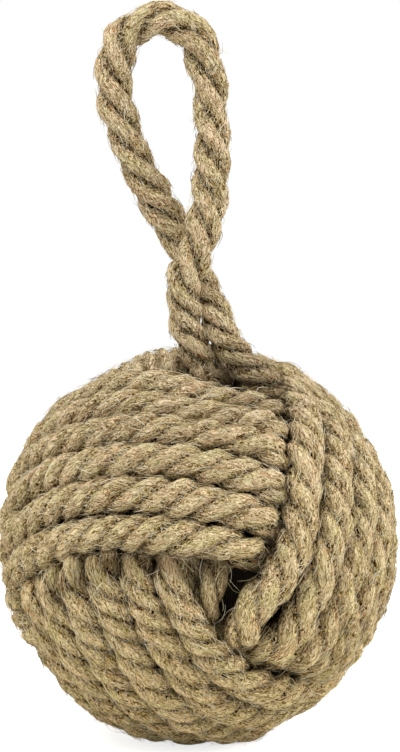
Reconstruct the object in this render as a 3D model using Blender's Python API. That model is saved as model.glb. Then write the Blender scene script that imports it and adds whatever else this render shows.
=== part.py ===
"""A monkey's fist knot: three windings of one rope, square to each other, tied round a bag of sand.

Each winding runs outside on two opposite faces of the ball and inside, under its neighbour, on the
next two. A rope loop comes out of the top corner and serves as the handle. The ball stands on a
small flat, pressed into the turns by its weight. Lengths are metres, +Z is up.
"""

import math

import bmesh
import bpy
import numpy as np

MM = 0.001

# Rope
ROPE_DIAMETER = 12.6 * MM
ROPE_GAP = 0.8 * MM  # between a rope and its neighbour, which in truth touch
LAYER_SLACK = 0.5 * MM  # more room between the outer and the inner layer
POINTS_BETWEEN = 6  # points in a quarter of a turn
CROWDING = 0.055  # how much closer together these points are where the rope dives
HANDLE_STEP = 0.42  # spacing of the handle's points, in rope diameters

# Core
CORE_DIAMETER = 97.0 * MM
CLOTH_THICKNESS = 1.6 * MM
SEAT_GAP = 0.3 * MM
NECK_DIAMETER = 9.0 * MM
TWINE_DIAMETER = 1.4 * MM
TWINE_GAP = 0.45 * MM  # from one turn of the twine to the next
TWINE_TURNS = 3

# Lie of the knot: how far the three square windings are turned about X, then Y, then Z
KNOT_TURN_DEGREES = (14.4, -31.7, -132.2)
DIVE_LENGTH = 24.5 * MM  # run in which a rope goes from the outer layer to the inner one
DIVE_LEAD = 1.4 * MM  # it is down this far before the middle of the next winding's edge turn
SPREAD_RATE = 1.3  # how soon the squeezed ropes spread out again under the next winding
SHIFT_DEGREES = 70.0  # the part of the hidden side in which a turn moves over to the next
CORNER_OPENING_DEGREES = 4.0  # how far the ropes leave a corner open
HANDLE_OPENING_DEGREES = 9.5  # the same where the two legs of the handle come out
OPENING_REACH_DEGREES = 50.0  # from here on a corner no longer moves the ropes
# Where the maker pulled the turns out of their even places: toward, by how many rope diameters to the
# right, back and up, and the angle in degrees over which the pull fades
PULLS = (
    ((0.452, -0.892, -0.033), (0.73, 0.0, -0.33), 30.0),
    ((-0.026, -0.998, -0.060), (-0.24, 0.0, -0.10), 13.0),
    ((0.388, -0.480, 0.787), (0.29, 0.0, 0.0), 20.0),
    ((0.037, -0.488, 0.872), (0.0, -0.30, -0.18), 17.0),
)

# Handle
LEGS_FORWARD_DEGREES = 18.05  # from straight above the ball's middle to where the legs stand
LEGS_SIDE_DEGREES = 2.25  # the same toward the right
HINGE_RISE = 9.6 * MM  # the line that the loop tilts about lies this far off the ball
LEG_SPACING = 12.9 * MM
# The loop from the left leg to the right one, from the middle between the legs, in millimetres:
# to the right, back and up. The right leg passes behind the left one.
HANDLE_ROUTE = (
    (-7.2, -2.0, 7.1), (-6.6, -5.4, 16.3), (-4.3, -6.6, 25.6), (-1.1, -5.4, 36.9), (1.1, -2.8, 53.4),
    (1.8, -1.0, 72.2), (0.9, 0.0, 88.9), (-1.5, 0.0, 101.5), (-6.5, 0.0, 110.1), (-14.3, 0.0, 114.1),
    (-23.1, 0.0, 112.9), (-30.8, 0.0, 106.7), (-34.4, 0.0, 95.2), (-33.1, 0.8, 81.5),
    (-29.2, 2.4, 68.0), (-23.2, 4.6, 54.5), (-15.0, 6.2, 40.5), (-6.6, 6.9, 27.6), (0.7, 5.8, 16.3),
    (4.8, 2.4, 7.1),
)
LEFT_ROOT = ((-5.2, -0.3, -9.0), (-3.3, -0.8, -12.6), (-0.25, -0.88, -15.2))  # ends on the third winding
RIGHT_ROOT = (  # goes on from here straight down to the bag
    (10.3, -0.4, -7.6), (14.2, -0.6, -12), (16.2, 0.2, -17), (15.4, 2.6, -23), (13.4, 5.6, -29),
)

# Seat
FLAT_DEPTH = 0.1 * ROPE_DIAMETER

# Colours of the pieces: linear red, green and blue
JUTE = (0.42, 0.30, 0.15)
DARK_JUTE = (0.30, 0.20, 0.095)
CANVAS = (0.085, 0.062, 0.038)
TWINE = (0.70, 0.64, 0.50)
SAND = (0.50, 0.38, 0.22)

tube_radius = (ROPE_DIAMETER - ROPE_GAP) / 2
inner_radius = CORE_DIAMETER / 2 + ROPE_DIAMETER / 2 + 2 * SEAT_GAP
layer_depth = ROPE_DIAMETER + LAYER_SLACK
outer_radius = inner_radius + layer_depth
ball_radius = outer_radius + tube_radius
middle_height = ball_radius - FLAT_DEPTH

# A corner of the ball lies this far from the middle of each of its three windings
corner_latitude = math.asin(1 / math.sqrt(3))
outer_pitch = 2 * math.asin(ROPE_DIAMETER / 2 / outer_radius)
inner_pitch = 2 * math.asin(ROPE_DIAMETER / 2 / inner_radius)
turns = int(2 * corner_latitude / outer_pitch)
dive_end = math.pi / 2 - (turns - 1) / 2 * outer_pitch - DIVE_LEAD / outer_radius
dive_start = dive_end - DIVE_LENGTH / outer_radius


def turn_matrix(degrees):
    """Turn about X, then Y, then Z, as a matrix whose columns are the turned axes."""
    x, y, z = (math.radians(d) for d in degrees)
    about_x = np.array([[1, 0, 0], [0, math.cos(x), -math.sin(x)], [0, math.sin(x), math.cos(x)]])
    about_y = np.array([[math.cos(y), 0, math.sin(y)], [0, 1, 0], [-math.sin(y), 0, math.cos(y)]])
    about_z = np.array([[math.cos(z), -math.sin(z), 0], [math.sin(z), math.cos(z), 0], [0, 0, 1]])
    return about_z @ about_y @ about_x


left_face, right_face, top_face = turn_matrix(KNOT_TURN_DEGREES).T
middle = np.array([0.0, 0.0, middle_height])
forward = math.radians(LEGS_FORWARD_DEGREES)
sideways = math.radians(LEGS_SIDE_DEGREES)
to_legs = np.array([math.sin(sideways), -math.cos(sideways) * math.sin(forward),
                    math.cos(sideways) * math.cos(forward)])
hinge = middle + to_legs * (ball_radius + HINGE_RISE)
handle_corner = (left_face + right_face + top_face) / math.sqrt(3)


def smooth(x):
    """A soft step from 0 to 1: half a wave of the cosine."""
    return 0.5 - 0.5 * np.cos(np.pi * np.clip(x, 0, 1))


def open_corners(directions):
    """Move directions away from the eight corners, most where they are nearest."""
    for signs in np.ndindex(2, 2, 2):
        corner = sum(s * face for s, face in zip(1 - 2 * np.array(signs), (left_face, right_face, top_face)))
        corner = corner / np.linalg.norm(corner)
        opening = HANDLE_OPENING_DEGREES if corner @ handle_corner > 0.99 else CORNER_OPENING_DEGREES
        across = directions - (directions @ corner)[:, None] * corner
        away = np.arccos(np.clip(directions @ corner, -1, 1))
        fade = 1 - smooth(away / math.radians(OPENING_REACH_DEGREES))
        moved = away + fade * (np.hypot(away, math.radians(opening)) - away)
        across /= np.maximum(np.linalg.norm(across, axis=1), 1e-9)[:, None]
        directions = np.cos(moved)[:, None] * corner + np.sin(moved)[:, None] * across
    return directions


def pull_turns(directions):
    """Move directions by each pull, which fades with the square of the angle from its middle."""
    for toward, move, reach in PULLS:
        toward = np.array(toward) / np.linalg.norm(toward)
        away = np.arccos(np.clip(directions @ toward, -1, 1))
        fade = np.exp(-(away / math.radians(reach))**2)
        directions = directions + fade[:, None] * np.array(move) * ROPE_DIAMETER / outer_radius
        directions /= np.linalg.norm(directions, axis=1)[:, None]
    return directions


def laid(frame, place, longitude):
    """Where a rope lies that is some pitches from its winding's middle, at each longitude."""
    face, side, pole = frame

    def direction(latitude):
        level = np.cos(latitude)[:, None]
        ring = np.cos(longitude)[:, None] * face + np.sin(longitude)[:, None] * side
        return level * ring + np.sin(latitude)[:, None] * pole

    from_face = np.arccos(np.clip(abs(direction(place * outer_pitch) @ face), 0, 1))
    dive = smooth((from_face - dive_start) / (dive_end - dive_start))
    spread = smooth((from_face - dive_end) / (math.pi / 2 - dive_end) * SPREAD_RATE)
    latitude = place * (outer_pitch + spread * (inner_pitch - outer_pitch))
    lies = pull_turns(open_corners(direction(latitude)))
    return lies * (outer_radius - dive * layer_depth)[:, None]


def quarter_stops():
    """Angles of the points in a quarter turn: closer together where the rope dives."""
    even = np.arange(POINTS_BETWEEN) / POINTS_BETWEEN
    return math.pi / 2 * (even + CROWDING * np.sin(2 * np.pi * even))


def winding_path(frame):
    """Centre line and width of a winding: its turns side by side, each moving over to the next
    on the hidden side of the ball."""
    stops = np.concatenate([quarter_stops() + quarter * math.pi / 2 for quarter in range(4)])
    angle = np.concatenate([stops + turn * 2 * math.pi for turn in range(turns)] + [[turns * 2 * math.pi]])
    longitude = angle - math.pi / 2
    shift = math.radians(SHIFT_DEGREES)
    whole = np.floor(angle / (2 * math.pi) + 0.5)
    step = smooth((angle - 2 * math.pi * whole) / shift + 0.5)
    place = whole - 1 + step - (turns - 1) / 2
    points = laid(frame, place, longitude)
    along = np.gradient(points, axis=0)
    along /= np.linalg.norm(along, axis=1)[:, None]
    half = np.full(len(points), ROPE_DIAMETER / 2)
    for edge in (-0.5, 0.5):
        room = laid(frame, place + edge, longitude) - points
        room -= np.sum(room * along, axis=1)[:, None] * along
        half = np.minimum(half, np.linalg.norm(room, axis=1))
    return points + middle, half - ROPE_GAP / 2


def through(points, step):
    """Points at an even step along a smooth curve through the given ones."""
    points = np.array(points)
    ends = np.vstack([2 * points[0] - points[1], points, 2 * points[-1] - points[-2]])
    fine = []
    for a, b, c, d in zip(ends, ends[1:], ends[2:], ends[3:]):
        t = np.linspace(0, 1, 24, endpoint=False)[:, None]
        fine.append(0.5 * (2 * b + (c - a) * t + (2 * a - 5 * b + 4 * c - d) * t**2
                           + (3 * b - a - 3 * c + d) * t**3))
    fine = np.vstack(fine + [points[-1:]])
    run = np.append(0, np.cumsum(np.linalg.norm(np.diff(fine, axis=0), axis=1)))
    even = np.linspace(0, run[-1], max(2, round(run[-1] / step) + 1))
    return np.stack([np.interp(even, run, fine[:, k]) for k in range(3)], axis=1)


def least_gap(points, radii, apart):
    """Smallest gap of a winding to itself, between points more than a few steps apart on it."""
    gap = np.linalg.norm(points[:, None] - points[None], axis=2) - radii[:, None] - radii[None]
    steps = abs(np.arange(len(points))[:, None] - np.arange(len(points))[None])
    return gap[steps > apart].min()


def material(name, colour, roughness):
    made = bpy.data.materials.new(name)
    made.use_nodes = True
    shader = made.node_tree.nodes["Principled BSDF"]
    shader.inputs["Base Color"].default_value = (*colour, 1)
    shader.inputs["Roughness"].default_value = roughness
    made.diffuse_color = (*colour, 1)
    return made


def finish(name, mesh, colour, roughness, origin=(0, 0, 0)):
    """Link a mesh as a named sub-part, smooth shaded, with its own material."""
    piece = bpy.data.objects.new(name, mesh)
    piece.location = origin
    mesh.materials.clear()
    mesh.materials.append(material(name, colour, roughness))
    mesh.shade_smooth()
    mesh.set_sharp_from_angle(angle=math.radians(50))
    bpy.context.collection.objects.link(piece)
    return piece


def tube(name, points, radii, sides_step, colour, origin=(0, 0, 0)):
    """A closed tube along a line of points, with a radius at each."""
    curve = bpy.data.curves.new(name, "CURVE")
    curve.dimensions = "3D"
    curve.bevel_depth = 1
    curve.bevel_resolution = sides_step
    curve.use_fill_caps = True
    curve.twist_mode = "MINIMUM"
    spline = curve.splines.new("POLY")
    spline.points.add(len(points) - 1)
    flat = np.column_stack([np.array(points) - np.array(origin), np.ones(len(points))])
    spline.points.foreach_set("co", flat.ravel())
    spline.points.foreach_set("radius", np.broadcast_to(radii, len(points)).astype(float))
    drawn = bpy.data.objects.new(name + "_line", curve)
    bpy.context.collection.objects.link(drawn)
    bpy.context.view_layer.update()
    mesh = bpy.data.meshes.new_from_object(drawn.evaluated_get(bpy.context.evaluated_depsgraph_get()))
    bpy.data.objects.remove(drawn)
    body = bmesh.new()
    body.from_mesh(mesh)
    bmesh.ops.remove_doubles(body, verts=body.verts, dist=1e-6)
    bmesh.ops.recalc_face_normals(body, faces=body.faces)
    body.to_mesh(mesh)
    body.free()
    return finish(name, mesh, colour, 0.95, origin)


def turned(name, profile, direction, colour, roughness, segments=28):
    """A profile of distance from the axis and height, turned about an axis through the middle."""
    body = bmesh.new()
    across = np.cross(direction, (0.0, 0.0, 1.0))
    across /= np.linalg.norm(across)
    over = np.cross(direction, across)
    rings = []
    for distance, height in profile:
        if distance < 1e-7:
            rings.append([body.verts.new(middle + direction * height)])
            continue
        angles = [2 * math.pi * k / segments for k in range(segments)]
        rings.append([body.verts.new(middle + direction * height
                                     + distance * (math.cos(a) * across + math.sin(a) * over))
                      for a in angles])
    for low, high in zip(rings, rings[1:]):
        if len(low) == len(high) == 1:
            continue
        for k in range(segments):
            corners = [low[k % len(low)], low[(k + 1) % len(low)],
                       high[(k + 1) % len(high)], high[k % len(high)]]
            body.faces.new(list(dict.fromkeys(corners)))
    bmesh.ops.remove_doubles(body, verts=body.verts, dist=1e-6)
    bmesh.ops.recalc_face_normals(body, faces=body.faces)
    mesh = bpy.data.meshes.new(name)
    body.to_mesh(mesh)
    body.free()
    return finish(name, mesh, colour, roughness)


def cut_flat(piece):
    """Press the flat that the ball stands on into a winding, by a Boolean with a block."""
    size = 2 * ball_radius
    body = bmesh.new()
    bmesh.ops.create_cube(body, size=size)
    bmesh.ops.translate(body, verts=body.verts, vec=(0, 0, -size / 2))
    mesh = bpy.data.meshes.new("floor_block")
    body.to_mesh(mesh)
    body.free()
    block = bpy.data.objects.new("floor_block", mesh)
    block.hide_render = True
    block.display_type = "WIRE"
    bpy.context.collection.objects.link(block)
    cut = piece.modifiers.new("flat", "BOOLEAN")
    cut.operation = "DIFFERENCE"
    cut.solver = "EXACT"
    cut.object = block


def build_windings():
    """The three windings. Each goes round one axis and shows on the two faces square to it."""
    frames = {
        "first_winding": (left_face, right_face, top_face),
        "second_winding": (right_face, top_face, left_face),
        "third_winding": (top_face, left_face, right_face),
    }
    for name, frame in frames.items():
        points, radii = winding_path(frame)
        piece = tube(name, points, radii, 1, JUTE)
        print(name, "least gap to itself %.2f mm" % (least_gap(points, radii, 4) / MM))
        if (points[:, 2] - radii).min() < 0:
            cut_flat(piece)


def build_core():
    """The bag of sand: a round bag of dark canvas, its gathered neck in the free corner opposite the
    handle, twine round the neck, and the sand that fills it."""
    axis = -handle_corner
    radius = CORE_DIAMETER / 2
    neck = NECK_DIAMETER / 2
    inner = radius - CLOTH_THICKNESS
    bore = neck - CLOTH_THICKNESS
    shoulder = math.asin((neck + TWINE_DIAMETER) / radius)
    arc = np.linspace(shoulder, math.pi, 15)[:-1]
    neck_foot = radius * math.cos(shoulder) + TWINE_DIAMETER / 2
    pitch = TWINE_DIAMETER + TWINE_GAP
    tie_low = neck_foot + TWINE_DIAMETER
    mouth = tie_low + TWINE_TURNS * pitch + TWINE_DIAMETER
    outside = [(neck, mouth), (neck, neck_foot)]
    outside += [(radius * math.sin(a), radius * math.cos(a)) for a in arc] + [(0, -radius)]
    inside = [(0, -inner)] + [(inner * math.sin(a), inner * math.cos(a)) for a in arc[::-1]]
    inside += [(bore, neck_foot), (bore, mouth)]
    turned("core_bag", outside + inside + outside[:1], axis, CANVAS, 0.9)

    fill = inner - SEAT_GAP
    sand = [(fill * math.sin(a), fill * math.cos(a)) for a in arc]
    turned("core_sand", [(0, sand[0][1])] + sand + [(0, -fill)], axis, SAND, 1.0)

    across = np.cross(axis, (0.0, 0.0, 1.0))
    across /= np.linalg.norm(across)
    over = np.cross(axis, across)
    steps = 24
    angle = np.arange(TWINE_TURNS * steps + 1) * 2 * math.pi / steps
    around = neck + SEAT_GAP + TWINE_DIAMETER / 2
    ring = around * (np.cos(angle)[:, None] * across + np.sin(angle)[:, None] * over)
    rise = tie_low + pitch * angle / (2 * math.pi)
    points = middle + ring + rise[:, None] * axis
    radii = np.full(len(points), TWINE_DIAMETER / 2)
    tube("bag_tie", points, radii, 1, TWINE)
    print("bag tie least gap to itself %.2f mm" % (least_gap(points, radii, steps // 2) / MM))


def round_end(points, radius, reach):
    """Close a tube with a half ball: more points past its end, on ever smaller circles."""
    way = points[0] - points[1]
    way /= np.linalg.norm(way)
    angles = [math.radians(a) for a in (88, 66, 42, 20)]
    extra = [points[0] + way * reach * math.sin(a) for a in angles]
    return extra, [radius * max(math.cos(a), 0.04) for a in angles]


def build_handle():
    """The loop, which tilts about the line through the feet of its legs, and its two roots."""
    half = LEG_SPACING / 2
    feet = (np.array([-half, 0, 0]), np.array([half, 0, 0]))
    route = [feet[0]] + [np.array(p) * MM for p in HANDLE_ROUTE] + [feet[1]]
    points = through(route, HANDLE_STEP * ROPE_DIAMETER)
    first, first_radii = round_end(points, tube_radius, tube_radius)
    last, last_radii = round_end(points[::-1], tube_radius, tube_radius)
    line = np.vstack([first, points, last[::-1]]) + hinge
    radii = first_radii + [tube_radius] * len(points) + last_radii[::-1]
    tube("handle_loop", line, radii, 2, JUTE, hinge)
    run = np.linalg.norm(np.diff(points, axis=0), axis=1).sum()
    print("handle loop: %.0f mm of rope" % (run / MM))

    left = [np.array(p) * MM for p in LEFT_ROOT]
    right = [np.array(p) * MM for p in RIGHT_ROOT]
    outward = right[-1] + hinge - middle
    on_bag = (CORE_DIAMETER / 2 + SEAT_GAP) / np.linalg.norm(outward)
    right.append(middle + outward * on_bag - hinge)
    for name, foot, root in (("left_root", feet[0], left), ("right_root", feet[1], right)):
        way = (root[0] - foot) / np.linalg.norm(root[0] - foot)
        top = foot + way * (tube_radius + SEAT_GAP)
        line = through([top] + root, HANDLE_STEP * ROPE_DIAMETER) + hinge
        tube(name, line, tube_radius, 2, DARK_JUTE)


def build_tucked_end():
    """The rope's working end, tucked through the front corner down to the core."""
    front_corner = (left_face + right_face - top_face) / math.sqrt(3)
    low = CORE_DIAMETER / 2 + SEAT_GAP
    heights = np.linspace(low, low + 0.75 * ROPE_DIAMETER, 3)
    points = middle + heights[:, None] * front_corner
    tube("tucked_end", points, 0.4 * ROPE_DIAMETER, 2, DARK_JUTE)


def build():
    for old in list(bpy.data.objects):
        bpy.data.objects.remove(old)
    build_core()
    build_windings()
    build_tucked_end()
    build_handle()
    print("turns in a winding:", turns, " ball %.1f mm across" % (2 * ball_radius / MM))


build()
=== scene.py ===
# A monkey's fist knot of jute rope, dressed for a picture: laid rope with its grooves, yarns and
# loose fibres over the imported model. Lengths are metres, +Z is up, the front looks along -Y.

import math

import bpy
import numpy as np
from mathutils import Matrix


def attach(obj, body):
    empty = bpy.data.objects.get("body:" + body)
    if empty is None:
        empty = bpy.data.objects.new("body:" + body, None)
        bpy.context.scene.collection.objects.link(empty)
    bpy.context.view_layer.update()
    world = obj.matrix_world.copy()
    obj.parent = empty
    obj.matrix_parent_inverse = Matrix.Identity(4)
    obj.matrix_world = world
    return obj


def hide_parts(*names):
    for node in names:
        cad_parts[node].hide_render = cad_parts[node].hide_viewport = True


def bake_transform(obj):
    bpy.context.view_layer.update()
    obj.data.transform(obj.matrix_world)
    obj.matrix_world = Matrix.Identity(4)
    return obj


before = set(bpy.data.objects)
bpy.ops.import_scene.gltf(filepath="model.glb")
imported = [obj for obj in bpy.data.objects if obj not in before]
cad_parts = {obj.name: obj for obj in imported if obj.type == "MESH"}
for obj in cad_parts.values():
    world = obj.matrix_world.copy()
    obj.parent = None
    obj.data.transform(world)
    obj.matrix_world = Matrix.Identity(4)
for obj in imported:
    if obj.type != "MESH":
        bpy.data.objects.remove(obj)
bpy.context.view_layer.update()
mm = 0.001


# Small sums that several pieces share

def unit(vectors):  # each vector scaled to length one
    return vectors / np.maximum(np.linalg.norm(vectors, axis=-1, keepdims=True), 1e-12)


def softStep(x):  # half a wave of the cosine, from 0 to 1
    return 0.5 - 0.5 * np.cos(np.pi * np.clip(x, 0, 1))


def wander(run, length, seed):  # smooth noise of about 1: five sines of uneven pitch and phase
    dice = np.random.default_rng(seed)
    pitch = length * dice.uniform(0.6, 2.2, 5)
    phase = dice.uniform(0, 2 * np.pi, 5)
    return np.sin(2 * np.pi * run[..., None] / pitch + phase).sum(axis=-1) / math.sqrt(5)


def lengthAlong(line):  # distance run from the line's first point to each of its points
    return np.append(0, np.cumsum(np.linalg.norm(np.diff(line, axis=0), axis=1)))


def curveThrough(points, step):
    # Catmull-Rom: each stretch between two points is the cubic that leaves and arrives along the
    # chord of the points on either side. All stretches are worked out at once, then evenly spaced.
    ends = np.vstack([2 * points[0] - points[1], points, 2 * points[-1] - points[-2]])
    a, b, c, d = (ends[k:len(ends) - 3 + k, None] for k in range(4))
    t = np.linspace(0, 1, 40, endpoint=False)[None, :, None]
    fine = 0.5 * (2 * b + (c - a) * t + (2 * a - 5 * b + 4 * c - d) * t**2 + (3 * b - a - 3 * c + d) * t**3)
    fine = np.vstack([fine.reshape(-1, 3), points[-1]])
    run = lengthAlong(fine)
    even = np.linspace(0, run[-1], round(run[-1] / step) + 1)
    return np.stack([np.interp(even, run, fine[:, k]) for k in range(3)], axis=1)


def meshOf(name, vertices, quads, triangles, marks):
    # A mesh from arrays of points, four-sided and three-sided faces, with point attributes
    mesh = bpy.data.meshes.new(name)
    corners = np.concatenate([quads.ravel(), triangles.ravel()]).astype(np.int32)
    counts = np.concatenate([np.full(len(quads), 4), np.full(len(triangles), 3)])
    mesh.vertices.add(len(vertices))
    mesh.vertices.foreach_set("co", vertices.astype(np.float32).ravel())
    mesh.loops.add(len(corners))
    mesh.loops.foreach_set("vertex_index", corners)
    mesh.polygons.add(len(counts))
    mesh.polygons.foreach_set("loop_start", (np.cumsum(counts) - counts).astype(np.int32))
    mesh.update(calc_edges=True)
    mesh.validate()
    mesh.shade_smooth()
    for mark, values in marks.items():
        kind, field = ("FLOAT_VECTOR", "vector") if values.ndim == 2 else ("FLOAT", "value")
        mesh.attributes.new(mark, kind, "POINT").data.foreach_set(field, values.astype(np.float32).ravel())
    piece = bpy.data.objects.new(name, mesh)
    bpy.context.scene.collection.objects.link(piece)
    return piece


def tubeFaces(rings, sides):
    # Faces of a tube whose points are ring after ring, closed at both ends by one more point each.
    ring, side = np.meshgrid(np.arange(rings - 1), np.arange(sides), indexing="ij")
    here, there = ring * sides + side, ring * sides + (side + 1) % sides
    quads = np.stack([here, there, there + sides, here + sides], axis=-1).reshape(-1, 4)
    around = np.arange(sides)
    following = (around + 1) % sides
    first, last = rings * sides, rings * sides + 1
    top = (rings - 1) * sides
    triangles = np.vstack([
        np.stack([np.full(sides, first), following, around], axis=1),
        np.stack([np.full(sides, last), top + around, top + following], axis=1),
    ])
    return quads, triangles


def closedTube(name, grid, marks):
    # A grid of rings made a closed tube. The end points are the middles of the end rings.
    rings, sides = grid.shape[:2]
    quads, triangles = tubeFaces(rings, sides)
    vertices = np.vstack([grid.reshape(-1, 3), grid[0].mean(axis=0), grid[-1].mean(axis=0)])
    full = {}
    for mark, values in marks.items():
        flat = values.reshape(rings * sides, *values.shape[2:])
        full[mark] = np.concatenate([flat, flat[:1], flat[-1:]])
    return meshOf(name, vertices, quads, triangles, full)


# Measures that the rope, the knot and the handle share, in millimetres as the solids have them

ball = {
    "ropeDiameter": 12.6,
    "ropeGap": 0.8,  # what the solids' ropes leave between them
    "coreDiameter": 97.0,
    "coreGap": 0.6,  # between the core and the inner turns
    "layerGap": 0.5,  # between the inner and the outer turns
    "flatDepth": 1.26,  # how far the flat at the bottom is pressed in
}
ropeDiameter = ball["ropeDiameter"] * mm
innerRadius = (ball["coreDiameter"] / 2 + ball["ropeDiameter"] / 2 + ball["coreGap"]) * mm
layerDepth = (ball["ropeDiameter"] + ball["layerGap"]) * mm
outerRadius = innerRadius + layerDepth
middleHeight = outerRadius + (ball["ropeDiameter"] - ball["ropeGap"]) / 2 * mm - ball["flatDepth"] * mm
ballMiddle = np.array([0.0, 0.0, middleHeight])
outerPitch = 2 * math.asin(ropeDiameter / 2 / outerRadius)  # angle from one turn to the next
innerPitch = 2 * math.asin(ropeDiameter / 2 / innerRadius)


# Rope

rope = {
    "radius": 6.6 * mm,
    "strandShare": 0.585,  # a strand's radius, as a share of the rope's
    "strandSides": 13,
    "uneven": 0.08,  # how much a strand swells and thins
    "unevenLength": 26 * mm,
    "looseTurn": 0.42,  # radians by which the lay is early or late
    "looseLength": 70 * mm,
    "toneLength": 90 * mm,  # the run in which a strand's tone changes
    "roughness": 0.13 * mm,
    # painted shade: the free rope's grooves are painted dark wider, most at the legs' feet
    "openGrooveShade": 0.20,  # how much more of a groove is dark where the rope hangs free
    "floorPress": 1.3 * mm,  # how rounded the rope stays where the floor presses it flat
    "fibreTwist": 0.25,  # how far the fibres go with the lay
}


def roughSkin(rings, sides, seed):  # a random number at each point, evened out with its neighbours
    skin = np.random.default_rng(seed).normal(size=(rings, sides))
    for axis in (0, 1):
        skin = (np.roll(skin, 1, axis) + 2 * skin + np.roll(skin, -1, axis)) / 4
    return skin / skin.std()


# The hollows where hardly any light reaches the rope: along the foot of the handle, under the lower
# edge of the first winding, beside the second one and along the upper edge of the third. Each is a
# line in millimetres from the ball's middle, with how far its dark reaches and how much light is
# left in it.
hollows = (
    {"line": ((-7.4, -26.5, 62.8), (-2.6, -31.0, 61.3), (2.5, -34.1, 59.4), (7.5, -36.7, 56.8),
              (12.6, -38.3, 54.1), (17.6, -38.7, 52.5), (21.6, -38.0, 51.4), (25.8, -34.8, 51.8)),
     "reach": 5.2 * mm, "left": 0.0},
    {"line": ((-48.3, -50.8, -13.2), (-42.0, -56.8, -8.7), (-33.1, -62.9, -3.0), (-22.7, -67.3, -0.9),
              (-10.9, -70.2, -1.6), (-2.4, -71.0, -2.6), (5.6, -66.8, -1.5), (13.5, -65.5, -3.2),
              (18.6, -64.4, -0.2)),
     "reach": 5.0 * mm, "left": 0.18},
    {"line": ((28.8, -34.9, 50.1), (27.6, -45.4, 41.6), (27.3, -52.8, 31.9), (27.1, -57.6, 22.4),
              (26.6, -60.7, 12.9), (23.9, -62.8, 6.0), (20.7, -64.2, 1.7), (16.8, -65.3, -2.7),
              (13.6, -65.7, -7.8), (11.0, -65.3, -12.9), (8.5, -64.3, -18.8)),
     "reach": 2.8 * mm, "left": 0.25},
    {"line": ((11.0, -61.7, -25.0), (15.8, -58.1, -30.6), (22.1, -52.5, -36.2), (28.9, -45.4, -40.8),
              (36.6, -37.2, -42.8), (44.3, -27.3, -43.0), (51.3, -10.6, -42.6)),
     "reach": 2.3 * mm, "left": 0.35},
)
# painted shade on the handle's legs: from their top down to their foot, and how much light is left there
legShadeLook = {
    "top": 158.0 * mm,  # the legs darken from this height down to the next
    "foot": 136.0 * mm,
    "left": 0.55,
}


def lightLeft(points):
    # One, less a bell curve of the distance from the nearest point of each hollow's line.
    light = np.ones(points.shape[:-1])
    for look in hollows:
        line = curveThrough(np.array(look["line"]) * mm, 1.5 * mm) + ballMiddle
        nearest = np.min([np.linalg.norm(points - place, axis=-1) for place in line], axis=0)
        light *= 1 - (1 - look["left"]) * np.exp(-(nearest / look["reach"])**2)
    return light


def legShade(points):  # one above the legs' top, falling as a soft step to the darkest at their foot
    down = (legShadeLook["top"] - points[..., 2]) / (legShadeLook["top"] - legShadeLook["foot"])
    return 1 - (1 - legShadeLook["left"]) * softStep(down)


def onFloor(points):
    # Presses points on the floor: a height becomes the upper branch of a hyperbola over it.
    points[..., 2] = (points[..., 2] + np.sqrt(points[..., 2]**2 + rope["floorPress"]**2)) / 2
    return points


def laidRope(name, line, outward, lay, flatten, seed, pressed=True, strand=rope["strandShare"]):
    # Three strands laid left-handed. A strand's cross-section is a circle off the rope's axis; its
    # outer arc, at even angles, is carried along the line and turned against the run, once a lay.
    # Where the lay changes along the line, the turn is the sum of each step over its lay. A rope is
    # pressed among others, so that its sides get painted shade, or free, with wider painted groove shade.
    run = lengthAlong(line)
    laid = np.append(0, np.cumsum(np.diff(run) / (np.zeros(len(run)) + lay)[1:]))
    along = unit(np.gradient(line, axis=0))
    up = unit(outward - np.sum(outward * along, axis=1, keepdims=True) * along)
    side = np.cross(along, up)
    turn = -2 * np.pi * laid + rope["looseTurn"] * wander(run, rope["looseLength"], seed)
    offset = 1 - strand
    widest = math.pi / 3 + math.asin(math.sqrt(3) / 2 * offset / strand)
    arc = np.linspace(-widest, widest, rope["strandSides"] + 1)[:-1]
    around, reach, crown = [], [], []
    for k in range(3):
        swell = 1 + rope["uneven"] * wander(run, rope["unevenLength"], seed * 10 + k)
        x = offset + strand * np.cos(arc)
        y = strand * np.sin(arc)
        height = np.cos(arc / widest * np.pi / 2)
        around.append(turn[:, None] + np.arctan2(y, x) + k * 2 * np.pi / 3)
        reach.append(np.hypot(x, y) * (1 + (swell[:, None] - 1) * height))
        crown.append(np.broadcast_to(height, (len(run), len(arc))))
    around, reach, crown = (np.concatenate(rows, axis=1) for rows in (around, reach, crown))
    radius = rope["radius"] * reach + rope["roughness"] * roughSkin(*reach.shape, seed * 10 + 9)
    outX, outY = radius * np.cos(around), radius * np.sin(around)
    grid = (line[:, None] + (flatten[:, :1] * outX)[..., None] * up[:, None]
            + (flatten[:, 1:] * outY)[..., None] * side[:, None])
    grid = onFloor(grid)
    turned = around - rope["fibreTwist"] * turn[:, None]
    straight = np.stack([radius * np.cos(turned), radius * np.sin(turned),
                         np.broadcast_to(run[:, None], outX.shape) + seed * 0.7], axis=-1) / mm
    tones = [wander(run, rope["toneLength"], seed * 10 + 5 + k)[:, None] for k in range(3)]
    tones = np.repeat(np.concatenate(tones, axis=1), len(arc), axis=1)
    # mask of the painted shade on a pressed rope's sides: the cosine of the angle round it from its outer
    # side
    facing = np.cos(around) if pressed else np.ones(around.shape)
    shade = lightLeft(grid)
    # A free rope gets wider painted groove shade, most at the legs' feet, and the legs' painted shade.
    if not pressed:
        crown = crown - rope["openGrooveShade"] * (2 - legShade(grid))
        shade = shade * legShade(grid)
    piece = closedTube(name, grid, {"laid": straight, "crown": crown, "tone": tones, "facing": facing,
                                    "shade": shade})
    return piece, grid, along


# The knot: the same turns as in the solids, with finer points

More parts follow.
